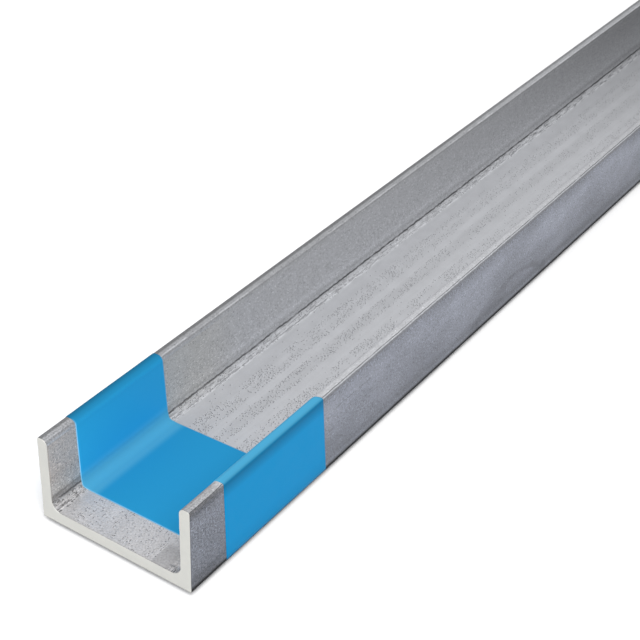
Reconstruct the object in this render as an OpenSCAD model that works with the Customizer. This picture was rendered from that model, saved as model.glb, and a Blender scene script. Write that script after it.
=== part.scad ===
// Parallel-flange steel channel: one bar, sawn to length, lying on the back of its web,
// with a plain film band wrapped over its flanges and through its trough near one end.
// The bar runs along Y and its flanges stand up along Z. The origin is on the back of
// the web, halfway along the bar.

/* [Channel] */
// Width over both flanges
channel_w = 75; // [50:1:140]
// Height from the back of the web to the flange tips
channel_h = 40; // [25:0.5:80]
// Length of the cut bar
channel_l = 1000; // [250:50:6000]
// Thickness of the web
web_t = 5.5; // [3:0.5:9]
// Thickness of each flange
flange_t = 5; // [3:0.5:9]

/* [Rolled edges] */
// Fillet in the two inner corners, between web and flange
root_r = 5; // [1:0.5:8]
// Round on the inner edge of each flange tip
toe_r = 2.5; // [0.5:0.25:4]
// Round on the outer edge of each flange tip
tip_r = 1; // [0.25:0.25:2]
// Round on the two outer corners, along the back of the web
heel_r = 0.4; // [0.2:0.1:3]

/* [Film band] */
// Distance from the sawn end to the band, in the middle of the web
band_inset = 18; // [8:0.5:100]
// Width of the band along the bar, in the middle of the web
band_l = 56; // [20:1:140]
// Thickness of the film
film_t = 0.15; // [0.1:0.05:0.5]
// Height above the back of the web at which the film's two ends stop
band_hem = 0.75; // [0.5:0.25:5]

/* [Hidden] */
$fn = 64;
steel_grey = [0.66, 0.67, 0.69];
film_blue = [0.15, 0.58, 0.83];
near_end_y = -channel_l / 2;
// The film was wrapped a little askew. Each edge leads or trails its place in the middle of the
// web where it crosses the left heel, tip and root, then the right root, tip and heel.
near_lead = [-2, -1.6, -0.5, 0.2, 2.6, 4.2];
far_lead = [-5.5, -3.8, -1, 1, 12.4, 16.4];
// The two rounds of a flange tip together never take more than the flange's thickness.
toe_share = toe_r / (toe_r + tip_r);
toe_round = min(toe_r, flange_t * toe_share);
tip_round = min(tip_r, flange_t * (1 - toe_share));

// The sliver between a square corner at the origin and an arc of radius r:
// taken off a convex corner it rounds it, added to a concave one it fillets it.
module corner(r) {
    difference() {
        square(r);
        translate([r, r]) circle(r);
    }
}

// The right flange and its root fillet, with every face moved out by skin.
module flange_section(skin) {
    outer_x = channel_w / 2 + skin;
    inner_x = channel_w / 2 - flange_t - skin;
    tip_z = channel_h + skin;
    difference() {
        translate([inner_x, -skin]) square([outer_x - inner_x, tip_z + skin]);
        translate([inner_x, tip_z]) mirror([0, 1]) corner(toe_round + skin);
        translate([outer_x, tip_z]) rotate(180) corner(tip_round + skin);
        translate([outer_x, -skin]) mirror([1, 0]) corner(heel_r + skin);
    }
    translate([inner_x, web_t + skin]) mirror([1, 0]) corner(root_r - skin);
}

// The rolled section in X and Z, with every face moved out by skin.
module section(skin = 0) {
    trough_x = channel_w / 2 - flange_t - skin;
    translate([-trough_x, -skin]) square([2 * trough_x, web_t + 2 * skin]);
    flange_section(skin);
    mirror([1, 0]) flange_section(skin);
}

// Runs a profile drawn in X and Z along the bar, from y for a length.
module along_bar(y, length) {
    translate([0, y + length, 0]) rotate([90, 0, 0]) linear_extrude(length) children();
}

// The bar, sawn square at both ends.
module channel() {
    color(steel_grey) along_bar(near_end_y, channel_l) section();
}

// The stretch of one flange side between the film's edges, over x for a width: it runs straight
// from its places at z_low, for the crossing called low, up to the tip, for the crossing called tip.
module flange_stretch(x, width, z_low, low, tip) {
    z_tip = channel_h - toe_round;
    top = channel_h + 2 * film_t;
    translate([x, near_end_y + band_inset, 0]) rotate([90, 0, 90]) linear_extrude(width) polygon([
        [near_lead[low], z_low],
        [band_l + far_lead[low], z_low],
        [band_l + far_lead[tip], z_tip],
        [band_l + far_lead[tip], top],
        [near_lead[tip], top],
        [near_lead[tip], z_tip],
    ]);
}

// The stretch of the trough's bottom, with both root fillets, between the film's edges.
module trough_stretch(reach, height) {
    root_x = channel_w / 2 - flange_t - root_r;
    translate([0, near_end_y + band_inset, 0]) linear_extrude(height) polygon([
        [-reach, near_lead[2]],
        [-root_x, near_lead[2]],
        [root_x, near_lead[3]],
        [reach, near_lead[3]],
        [reach, band_l + far_lead[3]],
        [root_x, band_l + far_lead[3]],
        [-root_x, band_l + far_lead[2]],
        [-reach, band_l + far_lead[2]],
    ]);
}

// Everything between the film's two edges, from the left heel to the right one.
module wrapped_stretch() {
    half = flange_t / 2;
    flange_x = channel_w / 2 - half;
    inside = half + root_r;
    root_z = web_t + root_r;
    flange_stretch(-flange_x - flange_t, flange_t, band_hem, 0, 1);
    flange_stretch(-flange_x, inside, root_z, 2, 1);
    trough_stretch(flange_x, root_z);
    flange_stretch(flange_x - inside, inside, root_z, 3, 4);
    flange_stretch(flange_x, flange_t, band_hem, 5, 4);
}

// The film lies on the section from one heel, over both tips and the web, to the other heel.
module film_band() {
    color(film_blue) intersection() {
        along_bar(near_end_y, channel_l) difference() {
            section(film_t);
            section();
            translate([-channel_w, band_hem - channel_h]) square([2 * channel_w, channel_h]);
        }
        wrapped_stretch();
    }
}

channel();
film_band();
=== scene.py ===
"""Looks of a rolled steel channel with a blue film band near one end, built around its CAD frame."""
import math

import bmesh
import bpy
import numpy as np
from mathutils import Matrix, Vector, noise


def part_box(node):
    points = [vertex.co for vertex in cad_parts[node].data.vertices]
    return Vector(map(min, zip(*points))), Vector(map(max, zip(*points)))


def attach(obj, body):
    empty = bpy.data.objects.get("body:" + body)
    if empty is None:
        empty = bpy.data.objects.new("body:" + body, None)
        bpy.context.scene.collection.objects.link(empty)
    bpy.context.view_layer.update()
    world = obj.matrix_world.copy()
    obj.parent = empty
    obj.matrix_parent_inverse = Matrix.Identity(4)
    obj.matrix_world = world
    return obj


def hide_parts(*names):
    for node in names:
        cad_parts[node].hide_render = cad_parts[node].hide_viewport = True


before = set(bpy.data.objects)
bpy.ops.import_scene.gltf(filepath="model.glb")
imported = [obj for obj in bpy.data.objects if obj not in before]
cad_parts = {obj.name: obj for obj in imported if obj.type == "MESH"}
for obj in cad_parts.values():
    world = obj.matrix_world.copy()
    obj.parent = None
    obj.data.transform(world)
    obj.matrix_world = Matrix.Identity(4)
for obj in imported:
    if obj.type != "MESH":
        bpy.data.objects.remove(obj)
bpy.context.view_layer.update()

# Sizes, in metres. The overall ones come from the frame, the rest repeat the section's own values.
MM = 0.001
bar_low, bar_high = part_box("channel")
film_low, film_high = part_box("film_band")
HALF_W = bar_high.x
HEIGHT = bar_high.z
NEAR_Y = bar_low.y
FAR_Y = bar_high.y
WEB_T = 5.5 * MM
FLANGE_T = 5.0 * MM
ROOT_R = 5.0 * MM
TOE_R = 2.5 * MM
TIP_R = 1.0 * MM
HEEL_R = 0.4 * MM
FILM_T = film_high.z - bar_high.z
FILM_HEM = film_low.z
INNER_X = HALF_W - FLANGE_T

# A quarter turn, in radians.
QUARTER = math.pi / 2

# Places around the section, in millimetres from the middle of the trough, on either side.
ROOT_START = (INNER_X - ROOT_R) / MM
ROOT_END = ROOT_START + QUARTER * ROOT_R / MM
TOE_START = ROOT_END + (HEIGHT - TOE_R - WEB_T - ROOT_R) / MM
TOE_END = TOE_START + QUARTER * TOE_R / MM
TIP_START = TOE_END + (FLANGE_T - TOE_R - TIP_R) / MM
TIP_END = TIP_START + QUARTER * TIP_R / MM
HEEL_START = TIP_END + (HEIGHT - TIP_R - HEEL_R) / MM
HEEL_END = HEEL_START + QUARTER * HEEL_R / MM
BACK_MIDDLE = HEEL_END + (HALF_W - HEEL_R) / MM

# Where an outer face would meet the back of the web without the heel's round.
FOOT = TIP_END + (HEIGHT - TIP_R) / MM

# Mesh spacing, in metres, and the fewest points of a round.
TROUGH_STEP = 1.0 * MM
OUTER_STEP = 1.5 * MM
BACK_STEP = 6.0 * MM
ROUND_STEP = 0.5 * MM
END_STEP = 0.6 * MM
FILM_STEP = 2.0 * MM
BAR_STEP = 4.0 * MM
ROUND_POINTS = 4

# The saw leaves a narrow ragged edge break around each cut end: its length along the bar in metres,
# and its least depth and how much that varies in millimetres.
EDGE_BREAK = 0.25 * MM
BREAK_LEAST = 0.08
BREAK_VARIES = 0.22

# Relief of the rolled skin, in millimetres: two sizes of waves, and flaws in the roots and on the
# tips where a wave passes a level. It dies out over a distance from the sharp heels.
LONG_WAVE = 0.05
SHORT_WAVE = 0.04
ROOT_FLAW = 0.25
ROOT_FLAW_LEVEL = 0.5
TIP_FLAW = 0.3
TIP_FLAW_LEVEL = 0.7
HEEL_CLEAR = 4.0


def stretch(start, end, normal, step):
    """Points along a straight side of the section, without its end point, each with its normal."""
    start, end = np.array(start), np.array(end)
    count = max(1, round(np.linalg.norm(end - start) / step))
    shares = np.arange(count)[:, None] / count
    return start + shares * (end - start), np.tile(normal, (count, 1))


def arc(centre, radius, start_deg, end_deg, facing):
    """Points along a round of the section, without its end point, each with its normal.

    facing is 1 on a convex round and -1 in a fillet.
    """
    count = max(ROUND_POINTS, round(radius * QUARTER / ROUND_STEP))
    angles = np.radians(start_deg + (end_deg - start_deg) * np.arange(count) / count)
    out = np.stack([np.cos(angles), np.sin(angles)], 1)
    return np.array(centre) + radius * out, facing * out


def half_section():
    """Points, outward normals and places around the right half of the section.

    They run from the middle of the trough to the middle of the back.
    """
    toe_x, tip_x, heel_x = INNER_X + TOE_R, HALF_W - TIP_R, HALF_W - HEEL_R
    root_z = WEB_T + ROOT_R
    runs = [
        stretch((0, WEB_T), (INNER_X - ROOT_R, WEB_T), (0, 1), TROUGH_STEP),
        arc((INNER_X - ROOT_R, root_z), ROOT_R, -90, 0, -1),
        stretch((INNER_X, root_z), (INNER_X, HEIGHT - TOE_R), (-1, 0), TROUGH_STEP),
        arc((toe_x, HEIGHT - TOE_R), TOE_R, 180, 90, 1),
        stretch((toe_x, HEIGHT), (tip_x, HEIGHT), (0, 1), ROUND_STEP),
        arc((tip_x, HEIGHT - TIP_R), TIP_R, 90, 0, 1),
        stretch((HALF_W, HEIGHT - TIP_R), (HALF_W, FILM_HEM), (1, 0), OUTER_STEP),
        stretch((HALF_W, FILM_HEM), (HALF_W, HEEL_R), (1, 0), OUTER_STEP),
        arc((heel_x, HEEL_R), HEEL_R, 0, -90, 1),
        stretch((heel_x, 0), (0, 0), (0, -1), BACK_STEP),
    ]
    points = np.vstack([run[0] for run in runs] + [[[0, 0]]])
    normals = np.vstack([run[1] for run in runs] + [[[0, -1]]])
    steps = np.linalg.norm(np.diff(points, axis=0), axis=1) / MM
    around = np.concatenate([[0], np.cumsum(steps)])
    return points, normals, around


def whole_section():
    """The section from the middle of the back over the left flange, trough and right flange, closed."""
    points, normals, around = half_section()
    mirror = np.array([-1, 1])
    points = np.vstack([points[:0:-1] * mirror, points])
    normals = np.vstack([normals[:0:-1] * mirror, normals])
    around = np.concatenate([-around[:0:-1], around])
    return points, normals, around


def bar_rows():
    """Places along the bar, closest together at the near end and widest beyond the film."""
    runs = [
        (NEAR_Y + EDGE_BREAK, film_low.y, END_STEP),
        (film_low.y, film_high.y, FILM_STEP),
        (film_high.y, FAR_Y - EDGE_BREAK, BAR_STEP),
    ]
    rows = []
    for low, high, step in runs:
        rows.append(np.linspace(low, high, round((high - low) / step), endpoint=False))
    return np.concatenate([[NEAR_Y], *rows, [FAR_Y - EDGE_BREAK, FAR_Y]])


def wave(around, along, across_mm, along_mm, seed):
    """Smooth noise from 0 to 1 on the unrolled skin, with its size across and along the bar."""
    return 0.5 + 0.5 * noise.noise(Vector((around / across_mm, along / along_mm, seed)))


def relief(around, along):
    """How far the skin lies under the true section, in millimetres, at a place in millimetres."""
    side = abs(around)
    depth = LONG_WAVE * wave(around, along, across_mm=9, along_mm=60, seed=1.3)
    depth += SHORT_WAVE * wave(around, along, across_mm=2.5, along_mm=9, seed=4.1)
    if ROOT_START - 1 < side < ROOT_END + 2:
        flaw = wave(around, along, across_mm=1.0, along_mm=5, seed=7.7)
        depth += ROOT_FLAW * max(0, flaw - ROOT_FLAW_LEVEL)
    if TOE_START - 1 < side < TIP_END + 1:
        flaw = wave(around, along, across_mm=1.4, along_mm=14, seed=9.2)
        depth += TIP_FLAW * max(0, flaw - TIP_FLAW_LEVEL)
    from_heel = abs(side - (HEEL_START + HEEL_END) / 2)
    return depth * min(1, from_heel / HEEL_CLEAR)


def ragged_break(around, end):
    """How far the sawn edge is broken, in millimetres."""
    return BREAK_LEAST + BREAK_VARIES * wave(around, end, across_mm=2.2, along_mm=1, seed=5.5)


def new_mesh(name, vertices, faces, layers):
    """A mesh with layers of places, each a pair of values for every corner of every face."""
    mesh = bpy.data.meshes.new(name)
    mesh.from_pydata(vertices, [], faces)
    for layer_name, places in layers.items():
        layer = mesh.uv_layers.new(name=layer_name)
        layer.uv.foreach_set("vector", np.array(places, np.float32).ravel())
    return mesh


def flip_outward(mesh):
    """Turns every face of a closed mesh outward."""
    work = bmesh.new()
    work.from_mesh(mesh)
    bmesh.ops.recalc_face_normals(work, faces=work.faces)
    work.to_mesh(mesh)
    work.free()
    mesh.update()


def add_piece(name, mesh, smooth):
    """A scene object for a closed mesh. smooth says which of its faces are shaded smooth."""
    mesh.polygons.foreach_set("use_smooth", smooth)
    flip_outward(mesh)
    piece = bpy.data.objects.new(name, mesh)
    bpy.context.scene.collection.objects.link(piece)
    return piece


def bar_vertices(points, normals, around, rows):
    """Corners of the bar's mesh, row by row, with the skin's relief and the broken sawn edges."""
    vertices = []
    for row, y in enumerate(rows):
        cut = row in (0, len(rows) - 1)
        along = (y - NEAR_Y) / MM
        for column in range(len(points) - 1):
            depth = relief(around[column], along)
            if cut:
                depth += ragged_break(around[column], row)
            x, z = points[column] - depth * MM * normals[column]
            vertices.append((x, y, z))
    return vertices


def make_bar(rolled, sawn):
    """The rolled bar as one closed mesh, with its skin's relief and both sawn ends."""
    points, normals, around = whole_section()
    rows = bar_rows()
    columns = len(points) - 1
    vertices = bar_vertices(points, normals, around, rows)
    faces = []
    unrolled = []
    for row in range(len(rows) - 1):
        near, far = (rows[row:row + 2] - NEAR_Y) / MM
        here, there = row * columns, (row + 1) * columns
        for column in range(columns):
            following = (column + 1) % columns
            faces.append((here + column, here + following, there + following, there + column))
            left, right = around[column], around[column + 1]
            unrolled += [(left, near), (right, near), (right, far), (left, far)]
    quads = len(faces)
    last = (len(rows) - 1) * columns
    for end in (range(columns - 1, -1, -1), range(last, last + columns)):
        faces.append(tuple(end))
        unrolled += [(vertices[i][0] / MM, vertices[i][2] / MM) for i in end]

    mesh = new_mesh("channel_bar", vertices, faces, {"unrolled": unrolled})
    mesh.materials.append(rolled)
    mesh.materials.append(sawn)
    sides = np.arange(len(faces))
    cut_faces = (sides < columns) | (sides >= quads - columns)
    mesh.polygons.foreach_set("material_index", cut_faces.astype(np.int32))
    return add_piece("channel_bar", mesh, ~cut_faces)


# Edges of the film, as millimetres from the near end where they cross each corner of the section.
ROOT_MIDDLE = 31.4
FILM_CORNERS = (-HEEL_START, -TIP_START, -ROOT_MIDDLE, ROOT_MIDDLE, TIP_START, HEEL_START)
FILM_NEAR_EDGE = (16.0, 16.4, 17.5, 18.2, 20.6, 22.2)
FILM_FAR_EDGE = (68.5, 70.2, 73.0, 75.0, 86.4, 90.4)

# Both edges run a little nearer to the end where the film is pressed into a root, in millimetres.
FILM_ROOT_DIP = 0.7

# The film's thickness at its very edges and the depth of its waves, in metres, and the share of its
# width in which it thins out.
FILM_EDGE_T = 0.05 * MM
FILM_WAVE = 0.05 * MM
FILM_RIM = 0.008

# Heights that differ by less count as the same, in metres.
ROUNDING = 1e-9


def film_edge(around, crossings):
    """Places of one edge of the film, in millimetres from the near end."""
    across_root = (np.abs(around) - ROOT_START) / (ROOT_END - ROOT_START)
    dip = FILM_ROOT_DIP * np.sin(math.pi * np.clip(across_root, 0, 1)) ** 4
    return np.interp(around, FILM_CORNERS, crossings) - dip


def film_lift(around, along, share):
    """How far the film's face lies off the steel, in metres. share is 0 at one edge, 1 at the other."""
    if share in (0, 1):
        return FILM_EDGE_T
    return FILM_T - FILM_WAVE * wave(around, along, across_mm=7, along_mm=12, seed=2.4)


def make_film(film):
    """The film band as one closed thin shell on the bar, from the left hem to the right one."""
    points, normals, around = whole_section()
    heights = (points + FILM_T * normals)[:, 1]
    shown = np.flatnonzero((heights >= FILM_HEM - ROUNDING) & (np.abs(around) < HEEL_END))
    near_edge = film_edge(around[shown], FILM_NEAR_EDGE)
    far_edge = film_edge(around[shown], FILM_FAR_EDGE)
    inner_rows = round((film_high.y - film_low.y) / FILM_STEP)
    shares = np.concatenate([[0], np.linspace(FILM_RIM, 1 - FILM_RIM, inner_rows), [1]])

    # Each row is a ring: the film's face from left to right, then its underside on the steel back.
    width = len(shown)
    ring = 2 * width
    loop = np.concatenate([np.arange(width), np.arange(width)[::-1]])
    place = around[shown][loop]
    spans = (far_edge - near_edge)[loop]
    vertices = []
    lengths = []
    for share in shares:
        along = near_edge[loop] + share * spans
        lengths.append(along)
        for corner, column in enumerate(shown[loop]):
            lift = film_lift(place[corner], along[corner], share) if corner < width else 0.0
            x, z = points[column] + lift * normals[column]
            vertices.append((x, NEAR_Y + along[corner] * MM, z))

    quads = []
    for row in range(len(shares) - 1):
        for corner in range(ring):
            following = (corner + 1) % ring
            quads.append(((row, corner), (row, following), (row + 1, following), (row + 1, corner)))
    for row in (0, len(shares) - 1):
        for corner in range(width - 1):
            ends = (corner, corner + 1, ring - 2 - corner, ring - 1 - corner)
            quads.append(tuple((row, c) for c in ends))
    faces = [tuple(r * ring + c for r, c in quad) for quad in quads]
    corners = [corner for quad in quads for corner in quad]
    layers = {
        "unrolled": [(place[c], lengths[r][c]) for r, c in corners],
        "from_edges": [(shares[r] * spans[c], (1 - shares[r]) * spans[c]) for r, c in corners],
    }

    mesh = new_mesh("film_wrap", vertices, faces, layers)
    mesh.materials.append(film)
    sides = np.arange(len(faces))
    face_side = (sides < (len(shares) - 1) * ring) & (sides % ring < width - 1)
    return add_piece("film_wrap", mesh, face_side)


# Noise: nearly all of it lies between these two values, and its detail is this rough.
NOISE_LOW = 0.25
NOISE_HIGH = 0.75
NOISE_ROUGHNESS = 0.55

# Spots: the radius of their full middle, and their smallest and largest radius, in cells of a grid.
SPOT_CORE = 0.1
SPOT_SMALLEST = 0.28
SPOT_LARGEST = 0.5


class Nodes:
    """Short calls for the shader nodes of one material."""

    def __init__(self, name):
        self.material = bpy.data.materials.new(name)
        self.material.use_nodes = True
        self.tree = self.material.node_tree
        self.shader = self.tree.nodes["Principled BSDF"]

    def add(self, kind, inputs=(), **settings):
        """A node with some of its inputs linked or set, by name or number."""
        node = self.tree.nodes.new(kind)
        for key, value in settings.items():
            setattr(node, key, value)
        for key, value in dict(inputs).items():
            self.put(node.inputs[key], value)
        return node

    def put(self, socket, value):
        """Links an output to a socket, or sets the socket's own value."""
        if isinstance(value, bpy.types.NodeSocket):
            self.tree.links.new(value, socket)
        else:
            socket.default_value = value

    def set(self, **inputs):
        """Links or sets the shader's own inputs."""
        for name, value in inputs.items():
            self.put(self.shader.inputs[name.replace("_", " ")], value)

    def math(self, operation, first, *others):
        """One operation on a value, or on all values from the first on."""
        if not others:
            return self.add("ShaderNodeMath", {0: first}, operation=operation).outputs[0]
        for other in others:
            node = self.add("ShaderNodeMath", {0: first, 1: other}, operation=operation)
            first = node.outputs[0]
        return first

    def product(self, *values):
        return self.math("MULTIPLY", *values)

    def total(self, *values):
        return self.math("ADD", *values)

    def largest(self, *values):
        return self.math("MAXIMUM", *values)

    def minus(self, first, second):
        return self.math("SUBTRACT", first, second)

    def ratio(self, first, second):
        return self.math("DIVIDE", first, second)

    def inverse(self, share):
        """What a share leaves of 1."""
        return self.minus(1.0, share)

    def fade(self, value, start, end, low=0.0, high=1.0):
        """Goes smoothly from low to high as value goes from start to end."""
        inputs = {"Value": value, "From Min": start, "From Max": end, "To Min": low, "To Max": high}
        node = self.add("ShaderNodeMapRange", inputs, interpolation_type="SMOOTHSTEP")
        return node.outputs["Result"]

    def fade_out(self, value, start, end):
        """Goes smoothly from 1 to 0 as value goes from start to end."""
        return self.fade(value, start, end, 1.0, 0.0)

    def level(self, share, low, high):
        """Goes smoothly from low where a share is 0 to high where it is 1."""
        return self.fade(share, 0.0, 1.0, low, high)

    def sway(self, value, reach):
        """Goes from -reach to reach with a noise."""
        return self.fade(value, NOISE_LOW, NOISE_HIGH, -reach, reach)

    def stripe(self, value, centre, half_width, soft):
        """1 within half_width of centre, falling to 0 over soft."""
        away = self.math("ABSOLUTE", self.minus(value, centre))
        return self.fade_out(away, half_width, half_width + soft)

    def vector(self, x, y, z=0.0):
        return self.add("ShaderNodeCombineXYZ", {"X": x, "Y": y, "Z": z}).outputs[0]

    def noise(self, vector, detail=3.0):
        """Noise from 0 to 1 with a grain of about one unit of its vector."""
        inputs = {"Vector": vector, "Scale": 1.0, "Detail": detail, "Roughness": NOISE_ROUGHNESS}
        return self.add("ShaderNodeTexNoise", inputs).outputs["Fac"]

    def ramp(self, value, stops, span):
        """Grey levels between stops, each a place and a level. Places run from 0 to span."""
        node = self.add("ShaderNodeValToRGB", {"Fac": self.ratio(value, span)})
        elements = node.color_ramp.elements
        while len(elements) < len(stops):
            elements.new(1.0)
        for element, (place, grey) in zip(elements, stops):
            element.position = place / span
            element.color = (grey, grey, grey, 1)
        return node.outputs["Color"]

    def tint(self, share, first, second):
        """A colour from first to second as share goes from 0 to 1."""
        node = self.add("ShaderNodeMix", data_type="RGBA")
        self.put(node.inputs["Factor"], share)
        self.put(node.inputs[6], first)
        self.put(node.inputs[7], second)
        return node.outputs[2]

    def shade(self, colour, factor):
        """A colour times a grey factor."""
        node = self.add("ShaderNodeVectorMath", {0: colour, 1: factor}, operation="MULTIPLY")
        return node.outputs[0]

    def bump(self, height, depth):
        """A normal from a height field. depth is in metres for a height of 1."""
        inputs = {"Height": height, "Strength": 1.0, "Distance": depth}
        return self.add("ShaderNodeBump", inputs).outputs["Normal"]


class Skin(Nodes):
    """The nodes of a material that lies on the unrolled section, with places in millimetres."""

    def __init__(self, name):
        super().__init__(name)
        self.around, self.along = self.layer("unrolled")
        self.side = self.math("ABSOLUTE", self.around)
        self.on_right = self.math("GREATER_THAN", self.around, 0.0)

    def layer(self, name):
        """The two values of a layer of the mesh."""
        places = self.add("ShaderNodeUVMap", uv_map=name).outputs["UV"]
        parts = self.add("ShaderNodeSeparateXYZ", {0: places})
        return parts.outputs["X"], parts.outputs["Y"]

    def grain(self, across_mm, along_mm, seed, detail=3.0, across=None):
        """Noise with its grain's size across and along the bar. across takes the place of around."""
        crosswise = self.ratio(self.around if across is None else across, across_mm)
        lengthwise = self.ratio(self.along, along_mm)
        return self.noise(self.vector(crosswise, lengthwise, seed), detail)

    def dots(self, cell, seed, share, shift=(0.0, 0.0)):
        """Small spots in a share of the cells of a jittered grid, 1 in their middles.

        cell is a cell's size across and along the bar, and shift moves all spots.
        """
        crosswise = self.ratio(self.minus(self.around, shift[0]), cell[0])
        lengthwise = self.ratio(self.minus(self.along, shift[1]), cell[1])
        corner = self.vector(self.total(crosswise, seed), self.total(lengthwise, seed))
        inputs = {"Vector": corner, "Scale": 1.0, "Randomness": 1.0}
        cells = self.add("ShaderNodeTexVoronoi", inputs, voronoi_dimensions="2D")
        chance = self.add("ShaderNodeSeparateColor", {0: cells.outputs["Color"]})
        reach = self.level(chance.outputs["Green"], SPOT_SMALLEST, SPOT_LARGEST)
        spot = self.fade_out(cells.outputs["Distance"], SPOT_CORE, reach)
        return self.product(spot, self.math("LESS_THAN", chance.outputs["Red"], share))


# Tone of the rolled skin across each side, as places around the section and grey levels.
# On the outer faces the tone holds painted shade: darker towards the tip and towards the foot, and a
# painted dark line along the foot and heel in place of the contact shadow.
OUTER_TONE_AND_SHADE = [
    (TIP_END, 0.15),
    (TIP_END + 1.2, 0.17),
    (TIP_END + 2.7, 0.19),
    (TIP_END + 9, 0.235),
    (HEEL_START - 20, 0.205),
    (HEEL_START - 8, 0.172),
    (HEEL_START - 5, 0.148),
    (HEEL_START - 2.7, 0.17),
    (HEEL_START - 1.8, 0.12),
    (HEEL_START - 1.2, 0.01),
    (HEEL_END, 0.01),
    (HEEL_END + 3, 0.16),
    (BACK_MIDDLE, 0.20),
]
LEFT_TONE = [
    (0, 0.49),
    (2.5, 0.485),
    (4.5, 0.455),
    (9, 0.455),
    (10.5, 0.49),
    (12.5, 0.49),
    (14, 0.465),
    (24, 0.46),
    (29, 0.435),
    (30, 0.46),
    (33, 0.46),
    (35, 0.50),
    (35.9, 0.435),
    (36.8, 0.475),
    (38.8, 0.54),
    (41, 0.495),
    (43.5, 0.485),
    # Over the lower half of the left toe the tone falls as the round turns up to the light: painted
    # shade that keeps it as dark as the wall.
    (TOE_START - 1.2, 0.48),
    (TOE_START - 0.3, 0.455),
    (TOE_START + 0.4, 0.43),
    (TOE_START + 1.3, 0.295),
    (TOE_START + 1.75, 0.235),
    (TOE_START + 2.0, 0.32),
    (TOE_START + 2.5, 0.315),
    (TOE_END - 1.0, 0.305),
    (TOE_END - 0.3, 0.31),
    (TOE_END + 0.1, 0.25),
    (TOE_END + 0.5, 0.15),
    (TIP_START - 0.4, 0.16),
    (TIP_START, 0.165),
    (TIP_START + 0.4, 0.12),
    (TIP_END, 0.08),
]
RIGHT_TONE = [
    (0, 0.49),
    (2, 0.50),
    (6, 0.50),
    (28, 0.47),
    (33, 0.45),
    (36.8, 0.465),
    (38.8, 0.52),
    (43.5, 0.485),
    (TOE_START, 0.485),
    (TOE_START + 2, 0.50),
    (TIP_START, 0.49),
    (TIP_START + 0.8, 0.48),
    (TIP_START + 1.2, 0.21),
    (TIP_END, 0.15),
]
STEEL_TINT = (0.98, 0.995, 1.04, 1)
# A painted warm tint that cancels the blue light the film throws onto the inner walls beside it.
FILM_BOUNCE_CANCEL_TINT = (1.01, 1.0, 0.98, 1)
NEAR_TINT = (1.03, 0.93, 0.86, 1)
SCALE_TINT = (0.925, 0.985, 1.165, 1)
SAWN_TINT = (0.485, 0.49, 0.47, 1)
SAWN_TINT_WARM = (0.485, 0.48, 0.45, 1)

# The near end is the bare steel in front of the film: where its looks start to fade along the bar
# and where they are gone, in millimetres.
NEAR_FADES = 12.0
NEAR_OVER = 26.0

# A smooth grey patch by the right root at the near end, in millimetres: its middle and half width
# across the bar, and where it fades and ends along it.
PATCH_PLACE = 21.5
PATCH_HALF = 3.6
PATCH_FADES = 11.0
PATCH_OVER = 13.0

# A line on the toe round of each flange: the tone changes between its lower and its upper side.
TOE_LINE_LOW = TOE_START + 1.7
TOE_LINE_HIGH = TOE_START + 2.0

# The painted contact shadow at the foot of an outer face fades in between these places.
FOOT_SHADOW_FADES = HEEL_START - 1.8
FOOT_SHADOW_FULL = HEEL_START - 1.2
FOOT_SHADOW_SOFT = 3.0

# Depths of the grains of the steel, of the saw marks and of the film's peel, in metres.
STEEL_BUMP = 0.12 * MM
SAW_BUMP = 0.02 * MM
FILM_BUMP = 0.01 * MM


class SteelSkin(Skin):
    """The rolled skin, with the shares of its faces and the noises that several marks need.

    A share is 1 on the faces that it is named for and 0 on the others.
    """

    def __init__(self):
        super().__init__("rolled_steel")
        self.on_left = self.inverse(self.on_right)
        self.height = self.minus(FOOT, self.side)
        self.walls = self.fade(self.side, ROOT_START, ROOT_END + 2)
        self.web = self.inverse(self.walls)
        self.outside = self.fade(self.side, TIP_START, TIP_END + 2)
        self.inside = self.product(self.walls, self.inverse(self.outside))
        self.tips = self.stripe(self.side, (TOE_START + TIP_END) / 2, 3.3, 0.6)
        self.plain = self.inverse(self.tips)
        self.near = self.fade_out(self.along, NEAR_FADES, NEAR_OVER)
        self.below_line = self.fade_out(self.side, TOE_LINE_LOW, TOE_LINE_HIGH)
        self.above_line = self.inverse(self.below_line)
        by_root = self.stripe(self.around, PATCH_PLACE, PATCH_HALF, 0.6)
        self.patch = self.product(by_root, self.fade_out(self.along, PATCH_FADES, PATCH_OVER))

        self.mottle = self.grain(5, 8, seed=3.0, detail=4.0)
        self.fine = self.grain(0.7, 0.9, seed=5.0, detail=2.0)
        self.broken = self.fade(self.grain(3, 9, seed=11.0), 0.3, 0.55, 0.55, 1.0)
        self.dashes = self.fade_out(self.grain(0.28, 2.8, seed=12.0, detail=2.0), 0.42, 0.5)
        self.ragged = self.sway(self.grain(6, 2.5, seed=16.0), 0.25)

        # The edges of the tips and heels waver along the bar.
        waver = self.sway(self.grain(30, 7, seed=22.0, detail=4.0), 0.1)
        edges = self.total(self.tips, self.stripe(self.side, HEEL_START, 1.5, 1.5))
        self.place = self.total(self.side, self.product(waver, edges))


def steel_tone(skin):
    """Grey levels across the section."""
    left = skin.ramp(skin.place, LEFT_TONE, TIP_END)
    right = skin.ramp(skin.place, RIGHT_TONE, TIP_END)
    outer = skin.ramp(skin.place, OUTER_TONE_AND_SHADE, BACK_MIDDLE)
    past_tip = skin.math("GREATER_THAN", skin.place, TIP_END)
    return skin.tint(past_tip, skin.tint(skin.on_right, left, right), outer)


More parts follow.
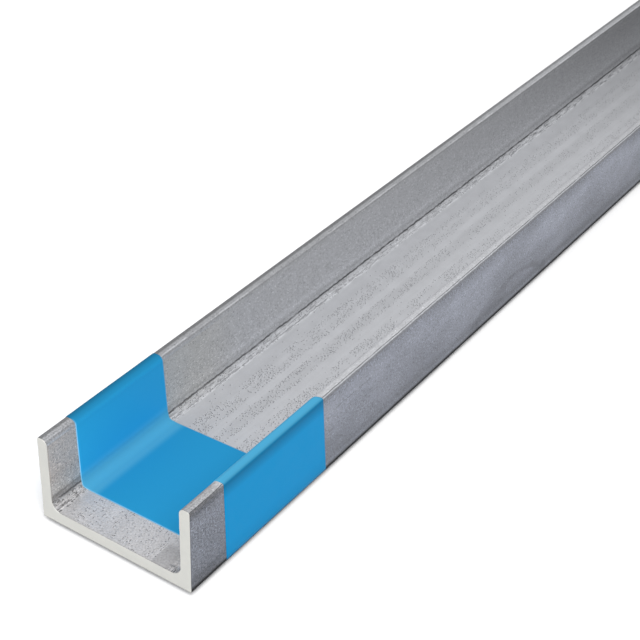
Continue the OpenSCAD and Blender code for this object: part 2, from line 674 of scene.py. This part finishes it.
def steel_dulling_and_shade(skin):
    """The share of the tone that the skin's duller parts and its painted shade leave."""
    along, side, height = skin.along, skin.side, skin.height

    # The insides of the flanges carry painted shade halfway along the bar, and the trough beyond that,
    # in place of a light that falls off along the bar. The tips above the toe line are not shaded, or
    # half as much on the right.
    flanges = skin.product(
        skin.stripe(along, 620.0, 0.0, 470.0),
        skin.fade(side, 36.0, 60.0, 0.28, 0.5),
        skin.inside,
        skin.largest(skin.below_line, skin.product(skin.on_right, 0.5)),
    )
    trough = skin.product(
        skin.stripe(along, 720.0, 120.0, 220.0),
        skin.fade(side, 28.0, 46.0, 0.28, 0.06),
        skin.inverse(skin.outside),
    )

    # At the near end the outer faces are duller, most of all along their rims, and so are the right
    # tip, the left wall low down and the patch by the right root.
    faces = skin.product(skin.fade(along, 15.0, 40.0, 0.2, 0.0), skin.outside)
    top_rim = skin.stripe(height, 37.6, 1.0, 1.8)
    foot_rim = skin.product(skin.stripe(height, 4.0, 1.5, 2.0), 0.6)
    rims = skin.product(
        skin.total(top_rim, foot_rim),
        skin.fade(along, 14.0, 24.0, 0.3, 0.0),
        skin.outside,
    )
    right_tip = skin.product(
        skin.fade_out(along, 16.0, 21.0),
        skin.fade(side, TOE_END - 1.6, TOE_END + 0.4, 0.44, 0.24),
        skin.on_right,
        skin.tips,
    )
    left_wall = skin.product(skin.stripe(side, 42.5, 3.0, 5.0), skin.near, skin.on_left, 0.1)
    patch = skin.product(skin.patch, 0.23)

    # Further along, the outer faces carry painted shade low down, above the painted contact shadow at
    # the foot.
    above_foot = skin.product(
        skin.fade(along, 80.0, 280.0, 0.0, 0.22),
        skin.fade(height, 2.5, 4.0),
        skin.fade_out(height, 5.0, 10.5),
        skin.outside,
    )
    near_parts = (faces, rims, right_tip, left_wall, patch)
    return skin.inverse(skin.total(flanges, trough, *near_parts, above_foot))


def steel_variation(skin):
    """Long soft streaks that the rolls leave, a mottle in three sizes, and a fine grain, about 1."""
    streaks = skin.fade(skin.grain(3.5, 1500, seed=1.0), 0.3, 0.7, -0.025, 0.025)
    clouds = skin.sway(skin.grain(22, 45, seed=4.0), 0.17)
    coarse = skin.sway(skin.grain(1.6, 4, seed=29.0), 0.07)
    top_rim = skin.stripe(skin.height, 38.0, 1.5, 2.0)
    rough = skin.total(
        skin.product(skin.walls, 0.12),
        skin.product(skin.outside, 0.12),
        skin.product(top_rim, skin.outside, 0.15),
        skin.product(skin.near, skin.level(skin.outside, 0.14, 0.26)),
        0.03,
    )
    return skin.total(
        skin.product(streaks, skin.web),
        skin.product(skin.sway(skin.mottle, 0.09), skin.level(skin.outside, 0.35, 1.0)),
        skin.product(clouds, skin.outside),
        skin.product(coarse, skin.inside),
        skin.product(skin.sway(skin.fine, 1.0), rough),
        1.0,
    )


# Bands of fine pits in the trough: centre and half width across the bar in millimetres, and how
# thick. Between the bands lie few pits.
PITTED_BANDS = [
    (-18.0, 4.0, 0.68),
    (-6.3, 2.8, 0.6),
    (6.4, 3.4, 0.7),
    (17.0, 4.5, 0.5),
]
BAND_SOFT = 1.2
BETWEEN_BANDS = 0.02

# Spots: the size of their cells across and along the bar, and where the painted highlight on a
# pit's rim lies beside it, in millimetres.
PIT_CELL = (0.75, 1.05)
SPECK_CELL = (1.1, 1.5)
ROOT_CELL = (0.6, 1.3)
PIT_HIGHLIGHT_SHIFT = (0.3, 0.5)
PIT_SEED = 3.7

# Places of the marks in and above each root fillet, in millimetres around the section. The line of
# scale lies lower further along the bar.
LIP_PLACE = 29.5
ROW_PLACE = 30.2
SCALE_PLACE = 31.0
FILLET_PLACE = 31.2
LINE_PLACE_FAR = 33.0
LINE_PLACE_NEAR = 33.6
FRINGE_PLACE = 34.8
SOOT_PLACE = 34.9

# How much of the tone the main dark marks take away, and the bright ones add.
PIT_DEPTH = 0.76
PIT_HIGHLIGHT = 0.16
CRUST_DEPTH = 0.5
ROOT_SPOT_DEPTH = 0.8
ROOT_FLECK_LIGHT = 0.3
GLINT_LIGHT = 0.14
LIP_LIGHT = 0.12
FRINGE_DEPTH = 0.22
ROOT_SCALE_DEPTH = 0.68
SOOT_DEPTH = 0.42
TIP_LINE_DEPTH = 0.7
TOE_LIGHT = 0.4
NEAR_TIP_LIGHT = 0.2
NEAR_WEB_LIGHT = 0.07
BURR_DEPTH = 0.5
CORNER_DEPTH = 0.8
STAIN_DEPTH = 0.3
SCRATCH_DEPTH = 0.42


def trough_pits(skin):
    """Fine pits in lengthwise bands of the trough, each with a painted highlight on one rim, and a
    crust at the near end.
    """
    bands = BETWEEN_BANDS
    for centre, half_width, amount in PITTED_BANDS:
        band = skin.stripe(skin.around, centre, half_width, BAND_SOFT)
        bands = skin.total(skin.product(band, amount), bands)
    share = skin.product(
        bands,
        skin.fade(skin.grain(4, 16, seed=6.0), 0.4, 0.58, 0.15, 1.1),
        skin.fade(skin.along, 130.0, 340.0, 1.0, 0.42),
        skin.web,
        skin.level(skin.near, 1.0, 0.36),
        skin.inverse(skin.patch),
    )
    pits = skin.product(skin.dots(PIT_CELL, PIT_SEED, share), PIT_DEPTH)
    # A painted highlight beside each pit, where its far rim would catch the light.
    rims = skin.product(skin.dots(PIT_CELL, PIT_SEED, share, PIT_HIGHLIGHT_SHIFT), PIT_HIGHLIGHT)
    crust = skin.product(
        skin.fade(skin.grain(0.55, 0.8, seed=26.0), 0.53, 0.62),
        skin.fade(skin.grain(1.8, 7, seed=21.0), 0.47, 0.58),
        skin.near,
        skin.web,
        skin.level(skin.patch, CRUST_DEPTH, 0.0),
    )
    return [pits, crust], [rims]


def wall_specks(skin):
    """Dark specks and bright flakes on the flanges, thickest low inside and along the outer rims."""
    low_walls = skin.product(skin.stripe(skin.side, 43.0, 4.0, 7.0), 0.25)
    top_rim = skin.stripe(skin.height, 37.5, 1.5, 2.0)
    foot_rim = skin.stripe(skin.height, 4.0, 2.5, 2.5)
    rims = skin.product(skin.total(top_rim, foot_rim), skin.outside, 0.16)
    share = skin.product(
        skin.total(low_walls, rims, 0.16),
        skin.walls,
        skin.level(skin.plain, 0.5, 1.0),
    )
    crisp = skin.level(skin.outside, 0.32, 0.42)
    specks = skin.product(skin.dots(SPECK_CELL, 5.3, share), crisp)
    flakes = skin.product(skin.dots(SPECK_CELL, 9.6, share), crisp)
    return [specks], [flakes]


def root_marks(skin):
    """Fine broken lengthwise marks in the root fillets, and a dark line of scale under each flange."""
    side, along, near = skin.side, skin.along, skin.near
    fillet = skin.stripe(side, FILLET_PLACE, 1.8, 0.5)
    spot_share = skin.product(fillet, 0.26)
    spots = skin.product(skin.dots(ROOT_CELL, 12.4, spot_share), ROOT_SPOT_DEPTH)
    fleck_share = skin.product(fillet, 0.3)
    flecks = skin.product(skin.dots(ROOT_CELL, 15.8, fleck_share), ROOT_FLECK_LIGHT)
    threads = skin.grain(0.45, 7, seed=27.0, detail=2.0)
    thread_depth = skin.fade(along, 250.0, 420.0, 0.3, 0.5)
    strokes = skin.product(skin.fade_out(threads, 0.4, 0.47), fillet, thread_depth)
    glints = skin.product(skin.fade(threads, 0.52, 0.6), fillet, GLINT_LIGHT)
    lip = skin.product(skin.stripe(side, LIP_PLACE, 0.2, 0.4), LIP_LIGHT)

    row = skin.product(
        skin.stripe(skin.minus(side, skin.ragged), ROW_PLACE, 0.15, 0.25),
        skin.fade(skin.grain(9, 4, seed=28.0), 0.42, 0.52),
        skin.fade(along, 190.0, 260.0, 0.42, 0.15),
    )
    fringe = skin.product(skin.stripe(side, FRINGE_PLACE, 0.6, 1.6), skin.dashes, FRINGE_DEPTH)
    line_place = skin.total(
        skin.fade(along, 90.0, 380.0, LINE_PLACE_NEAR, LINE_PLACE_FAR),
        skin.product(near, 0.25),
        skin.ragged,
    )
    line = skin.product(
        skin.stripe(skin.minus(side, line_place), 0.0, 0.25, 0.37),
        skin.broken,
        skin.fade(along, 100.0, 220.0, 0.74, 0.82),
    )

    # At the near end, blots of scale lie in the fillets and soot lies above them.
    blots = skin.fade(skin.grain(1.0, 2.2, seed=19.0, detail=2.0), 0.55, 0.62)
    scale = skin.product(skin.stripe(side, SCALE_PLACE, 2.0, 1.0), near, blots, ROOT_SCALE_DEPTH)
    soot = skin.product(skin.stripe(side, SOOT_PLACE, 1.4, 1.0), near, skin.broken, SOOT_DEPTH)
    return [spots, strokes, row, fringe, line, scale, soot], [flecks, glints, lip]


def tip_marks(skin):
    """A thin broken line on the right tip, and broken highlights on the left toe.

    The left tip is worn brighter further along the bar and at the near end.
    """
    line_away = skin.minus(skin.place, skin.product(skin.near, 0.6))
    line = skin.product(
        skin.stripe(line_away, TIP_START + 0.32, 0.1, 0.22),
        skin.on_right,
        skin.broken,
        TIP_LINE_DEPTH,
    )
    toe = skin.product(
        skin.stripe(skin.place, TOE_START + 2.35, 0.15, 0.3),
        skin.on_left,
        skin.fade(skin.grain(30, 60, seed=14.0, detail=1.0), 0.4, 0.55),
        skin.fade(skin.grain(9, 9, seed=25.0), 0.38, 0.52),
        TOE_LIGHT,
    )
    worn = skin.product(
        skin.fade(skin.along, 280.0, 400.0),
        skin.fade(skin.side, TOE_END - 0.4, TOE_END + 0.5, 0.18, 0.38),
        skin.on_left,
        skin.above_line,
        skin.tips,
    )
    near_stripe = skin.stripe(skin.side, TOE_END + 0.5, 0.9, 0.5)
    near_tip = skin.product(near_stripe, skin.near, skin.on_left, NEAR_TIP_LIGHT)
    return [line], [toe, worn, near_tip]


def end_marks(skin):
    """Dark ragged scale along the sawn edge and in its right corner, and a lighter web on the left."""
    by_edge = skin.fade_out(skin.along, 0.3, 1.0)
    burr = skin.product(by_edge, skin.fade(skin.fine, 0.4, 0.55), BURR_DEPTH)
    corner = skin.product(
        skin.stripe(skin.around, 28.0, 2.4, 1.2),
        skin.fade_out(skin.along, 2.5, 5.0),
        skin.dashes,
        CORNER_DEPTH,
    )
    web = skin.product(skin.stripe(skin.around, -15.0, 9.0, 2.0), skin.near, NEAR_WEB_LIGHT)
    return [burr, corner], [web]


# A stain on the right outer face, in millimetres: its middle and half width along the bar, and its
# lower edge and height.
STAIN_ALONG = 248.0
STAIN_HALF = 34.0
STAIN_LOW = 2.0
STAIN_RISE = 12.5

# A broken scratch there, in millimetres: its height, and its middle and half length along the bar.
SCRATCH_HEIGHT = 29.0
SCRATCH_ALONG = 111.0
SCRATCH_HALF = 13.0


def steel_stain(skin):
    """A dark arch and a blot inside it, left by something that stood against the bar."""
    height = skin.height
    run = skin.ratio(skin.minus(skin.along, STAIN_ALONG), STAIN_HALF)
    rise = skin.ratio(skin.minus(height, STAIN_LOW), STAIN_RISE)
    from_middle = skin.vector(run, rise)
    away = skin.add("ShaderNodeVectorMath", {0: from_middle}, operation="LENGTH").outputs["Value"]
    worn = skin.fade(skin.grain(5, 12, seed=17.0, across=height), 0.3, 0.6, 0.4, 1.0)
    waver = skin.sway(skin.grain(6, 6, seed=24.0, detail=4.0, across=height), 0.1)
    arch = skin.stripe(skin.total(away, waver), 1.0, 0.03, 0.13)
    filled = skin.product(skin.fade_out(away, 0.9, 1.0), skin.fade(rise, 0.2, 0.4))
    blot = skin.product(filled, skin.stripe(skin.total(run, waver), -0.45, 0.3, 0.12), 0.75)
    return skin.product(skin.largest(arch, blot), worn, skin.on_right, STAIN_DEPTH)


def face_marks(skin):
    """A stain and a scratch on the right outer face."""
    scratch = skin.product(
        skin.stripe(skin.total(skin.height, skin.ragged), SCRATCH_HEIGHT, 0.12, 0.2),
        skin.stripe(skin.along, SCRATCH_ALONG, SCRATCH_HALF, 3.0),
        skin.fade(skin.grain(9, 5, seed=15.0), 0.42, 0.52),
        skin.on_right,
        SCRATCH_DEPTH,
    )
    return [steel_stain(skin), scratch], []


def steel_colour(skin):
    """Tints: a painted warmth on the inner walls by the film that cancels its blue bounce light, warmer
    at the near end, and bluish outside.
    """
    by_film = skin.product(skin.stripe(skin.along, 45.0, 45.0, 40.0), skin.inside, skin.plain)
    by_end = skin.product(skin.near, skin.plain, skin.fade(skin.side, 38.0, 48.0, 0.3, 1.0))
    inner = skin.tint(by_end, skin.tint(by_film, STEEL_TINT, FILM_BOUNCE_CANCEL_TINT), NEAR_TINT)
    return skin.tint(skin.outside, inner, SCALE_TINT)


def rolled_steel():
    """Mill skin: pitted bands in the trough, a speckled root, worn tips and bluish outer faces, with
    painted shade and painted highlights.
    """
    skin = SteelSkin()
    dark_marks = []
    bright_marks = []
    for paint in (trough_pits, wall_specks, root_marks, tip_marks, end_marks, face_marks):
        darker, brighter = paint(skin)
        dark_marks += darker
        bright_marks += brighter
    dark = skin.largest(*dark_marks)
    bright = skin.total(*bright_marks, 1.0)
    level = skin.product(
        steel_tone(skin),
        steel_dulling_and_shade(skin),
        steel_variation(skin),
        bright,
        skin.inverse(dark),
    )
    depth = skin.minus(skin.product(skin.fine, 0.15), dark)

    # The foot of each outer face and its heel hold the painted contact shadow, and are dead matt so
    # that it stays dark.
    foot_shadow = skin.product(
        skin.fade(skin.place, FOOT_SHADOW_FADES, FOOT_SHADOW_FULL),
        skin.fade_out(skin.place, HEEL_END, HEEL_END + FOOT_SHADOW_SOFT),
    )
    skin.set(
        Base_Color=skin.shade(steel_colour(skin), level),
        Metallic=skin.level(foot_shadow, 0.35, 0.0),
        Roughness=skin.largest(skin.fade(skin.mottle, 0.2, 0.8, 0.48, 0.6), foot_shadow),
        Normal=skin.bump(depth, STEEL_BUMP),
    )
    return skin.material


# Grain of the sawn ends: the size of the saw marks across and upward, in metres, and how many
# blotches lie in a metre. The lowest part of the cut holds a painted contact shadow, between these
# heights in metres.
SAW_MARK_ACROSS = 30 * MM
SAW_MARK_UP = 0.5 * MM
BLOTCHES = 120.0
SAWN_SHADOW_DARK = 0.3 * MM
SAWN_SHADOW_CLEAR = 0.8 * MM


def sawn_steel():
    """Bright cut metal with faint parallel saw marks, and a painted contact shadow along its lowest
    edge.
    """
    nodes = Nodes("sawn_steel")
    place = nodes.add("ShaderNodeTexCoord").outputs["Object"]
    parts = nodes.add("ShaderNodeSeparateXYZ", {0: place})
    across = nodes.ratio(parts.outputs["X"], SAW_MARK_ACROSS)
    upward = nodes.ratio(parts.outputs["Z"], SAW_MARK_UP)
    marks = nodes.noise(nodes.vector(across, upward))
    blotches = nodes.noise(nodes.shade(place, (BLOTCHES, BLOTCHES, BLOTCHES)))
    level = nodes.total(
        nodes.sway(marks, 0.03),
        nodes.sway(blotches, 0.03),
        # A painted contact shadow along the foot of the cut.
        nodes.fade(parts.outputs["Z"], SAWN_SHADOW_DARK, SAWN_SHADOW_CLEAR, 0.6, 1.0),
    )
    nodes.set(
        Base_Color=nodes.shade(nodes.tint(blotches, SAWN_TINT, SAWN_TINT_WARM), level),
        Metallic=0.2,
        Roughness=nodes.fade(marks, 0.2, 0.8, 0.45, 0.6),
        Normal=nodes.bump(marks, SAW_BUMP),
    )
    return nodes.material


# The outer faces have their own copy of the film's blue, shifted for the light they get: painted light
# on a film of one colour.
FILM_BLUE = (0.016, 0.229, 0.446, 1)
FILM_OUTER_LIT_COPY = (0.004, 0.226, 0.48, 1)
FILM_HIGHLIGHT_BLUE = (0.055, 0.295, 0.485, 1)
FILM_EDGE_HIGHLIGHT = (0.34, 0.56, 0.72, 1)

# Level of the film across each side, as places around the section and grey levels. The levels are
# painted light and shade on a film of one colour: brighter on the inner walls, which get less light,
# darker at the foot, and a painted shadow under each tip's outer corner.
FILM_LEFT_LIGHTING = [
    (0, 1.0),
    (ROOT_START, 0.95),
    (33, 1.02),
    (ROOT_END + 1.5, 1.57),
    (ROOT_END + 6, 1.6),
    (TOE_START - 3, 1.5),
    (TOE_START, 1.42),
    (TOE_START + 2, 0.85),
    (TIP_START, 0.5),
    (TIP_END + 1, 0.5),
    (TIP_END + 7, 0.95),
    (HEEL_END, 0.9),
]
FILM_RIGHT_LIGHTING = [
    (0, 1.0),
    (ROOT_START, 0.95),
    (33, 1.0),
    (ROOT_END + 3, 1.45),
    (TOE_START, 1.45),
    (TOE_END - 1.5, 1.05),
    (TIP_START, 0.95),
    (TIP_END, 0.52),
    (TIP_END + 2.5, 0.7),
    (TIP_END + 7, 0.97),
    (HEEL_START - 8, 0.97),
    (HEEL_END, 0.85),
]


def blue_film():
    """Smooth self-adhesive film, with a pale painted highlight along the roots and over the right toe.
    """
    skin = Skin("blue_film")
    side = skin.side
    # The film's level across the section is painted light and shade.
    place = skin.math("MINIMUM", side, HEEL_END)
    left = skin.ramp(place, FILM_LEFT_LIGHTING, HEEL_END)
    right = skin.ramp(place, FILM_RIGHT_LIGHTING, HEEL_END)
    level = skin.tint(skin.on_right, left, right)
    outside = skin.fade(side, TIP_START, TIP_END)
    # A pale painted highlight along each root and over the right toe.
    root = skin.product(skin.fade(side, 22.5, 26.5), skin.fade_out(side, 32.5, 40.0))
    toe = skin.product(skin.stripe(side, TOE_END, 2.0, 1.0), skin.on_right)
    # Painted light: the outer faces take their own copy of the film's blue.
    blue = skin.tint(outside, FILM_BLUE, FILM_OUTER_LIT_COPY)
    blue = skin.tint(skin.total(root, toe), blue, FILM_HIGHLIGHT_BLUE)

    # A painted highlight along the film's cut edges inside the trough.
    from_near, from_far = skin.layer("from_edges")
    to_edge = skin.math("MINIMUM", from_near, from_far)
    in_trough = skin.fade_out(side, TOE_START, TOE_END)
    cut = skin.product(skin.fade(to_edge, 0.25, 0.55, 0.4, 0.0), in_trough)

    cloud = skin.grain(8, 14, seed=1.0)
    peel = skin.grain(1.2, 1.2, seed=4.0, detail=2.0)
    skin.set(
        Base_Color=skin.shade(skin.tint(cut, blue, FILM_EDGE_HIGHLIGHT), level),
        Roughness=skin.fade(cloud, 0.2, 0.8, 0.38, 0.46),
        Specular_IOR_Level=0.03,
        Normal=skin.bump(peel, FILM_BUMP),
    )
    return skin.material


# The floor lies a little under the bar, as it does under a bar that isn't dead straight.
FLOOR_SIZE = 40.0
FLOOR_GAP = 2.4 * MM
FLOOR_WHITE = (0.9, 0.9, 0.9, 1)


def pale_floor():
    """A wide white floor."""
    nodes = Nodes("pale_floor")
    nodes.set(Base_Color=FLOOR_WHITE, Roughness=0.9, Specular_IOR_Level=0.0)
    bpy.ops.mesh.primitive_plane_add(size=FLOOR_SIZE, location=(0, 0, -FLOOR_GAP))
    floor = bpy.context.object
    floor.name = "floor"
    floor.data.materials.append(nodes.material)


# Light: the strength of an even sky, and the place, target, size and power of one lamp.
SKY_WHITE = (1, 1, 1, 1)
SKY_STRENGTH = 0.62
KEY_PLACE = (1.07, -1.92, 2.67)
KEY_TARGET = (0, -0.3, 0)
KEY_SIZE = 2.4
KEY_POWER = 119


def area_light(name, place, target, size, power):
    """A square soft light at a place, turned to a target."""
    light = bpy.data.lights.new(name, "AREA")
    light.size = size
    light.energy = power
    lamp = bpy.data.objects.new(name, light)
    bpy.context.scene.collection.objects.link(lamp)
    lamp.location = place
    lamp.rotation_euler = (Vector(target) - Vector(place)).to_track_quat("-Z", "Y").to_euler()


def light_studio():
    """Plain soft light: an even sky and one large lamp above, in front and to the right."""
    world = bpy.data.worlds.new("studio")
    world.use_nodes = True
    sky = world.node_tree.nodes["Background"]
    sky.inputs["Color"].default_value = SKY_WHITE
    sky.inputs["Strength"].default_value = SKY_STRENGTH
    bpy.context.scene.world = world
    area_light("key", KEY_PLACE, KEY_TARGET, KEY_SIZE, KEY_POWER)


# Camera, from the photograph's straight edges: its place from the near end's middle, in bar widths.
CAMERA_PLACE = Vector((4.1785, -4.4727, 5.6172))
CAMERA_AZIMUTH = math.radians(-33.447)
CAMERA_ELEVATION = math.radians(34.252)
CAMERA_ROLL = math.radians(1.913)
FOCAL_PIXELS = 1569.9
FRAME_PIXELS = 640
SENSOR_MM = 36.0
CLIP_NEAR = 0.01
CLIP_FAR = 50


def place_camera():
    """The photograph's camera, which looks down along the bar and is rolled a little."""
    camera = bpy.data.cameras.new("camera")
    camera.sensor_width = SENSOR_MM
    camera.lens = FOCAL_PIXELS / FRAME_PIXELS * SENSOR_MM
    camera.clip_start = CLIP_NEAR
    camera.clip_end = CLIP_FAR
    level = math.cos(CAMERA_ELEVATION)
    forward = Vector((
        math.sin(CAMERA_AZIMUTH) * level,
        math.cos(CAMERA_AZIMUTH) * level,
        -math.sin(CAMERA_ELEVATION),
    ))
    right = Vector((math.cos(CAMERA_AZIMUTH), -math.sin(CAMERA_AZIMUTH), 0))
    up = right.cross(forward)
    turned_right = math.cos(CAMERA_ROLL) * right + math.sin(CAMERA_ROLL) * up
    turned_up = math.cos(CAMERA_ROLL) * up - math.sin(CAMERA_ROLL) * right
    turn = Matrix((turned_right, turned_up, -forward)).transposed()
    viewer = bpy.data.objects.new("camera", camera)
    bpy.context.scene.collection.objects.link(viewer)
    place = CAMERA_PLACE * 2 * HALF_W + Vector((0, NEAR_Y, 0))
    viewer.matrix_world = Matrix.Translation(place) @ turn.to_4x4()
    bpy.context.scene.camera = viewer


bar = make_bar(rolled_steel(), sawn_steel())
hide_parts("channel")
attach(bar, "root")

wrap = make_film(blue_film())
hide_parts("film_band")
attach(wrap, "root")

pale_floor()
light_studio()
place_camera()
bpy.context.scene.view_settings.view_transform = "Standard"
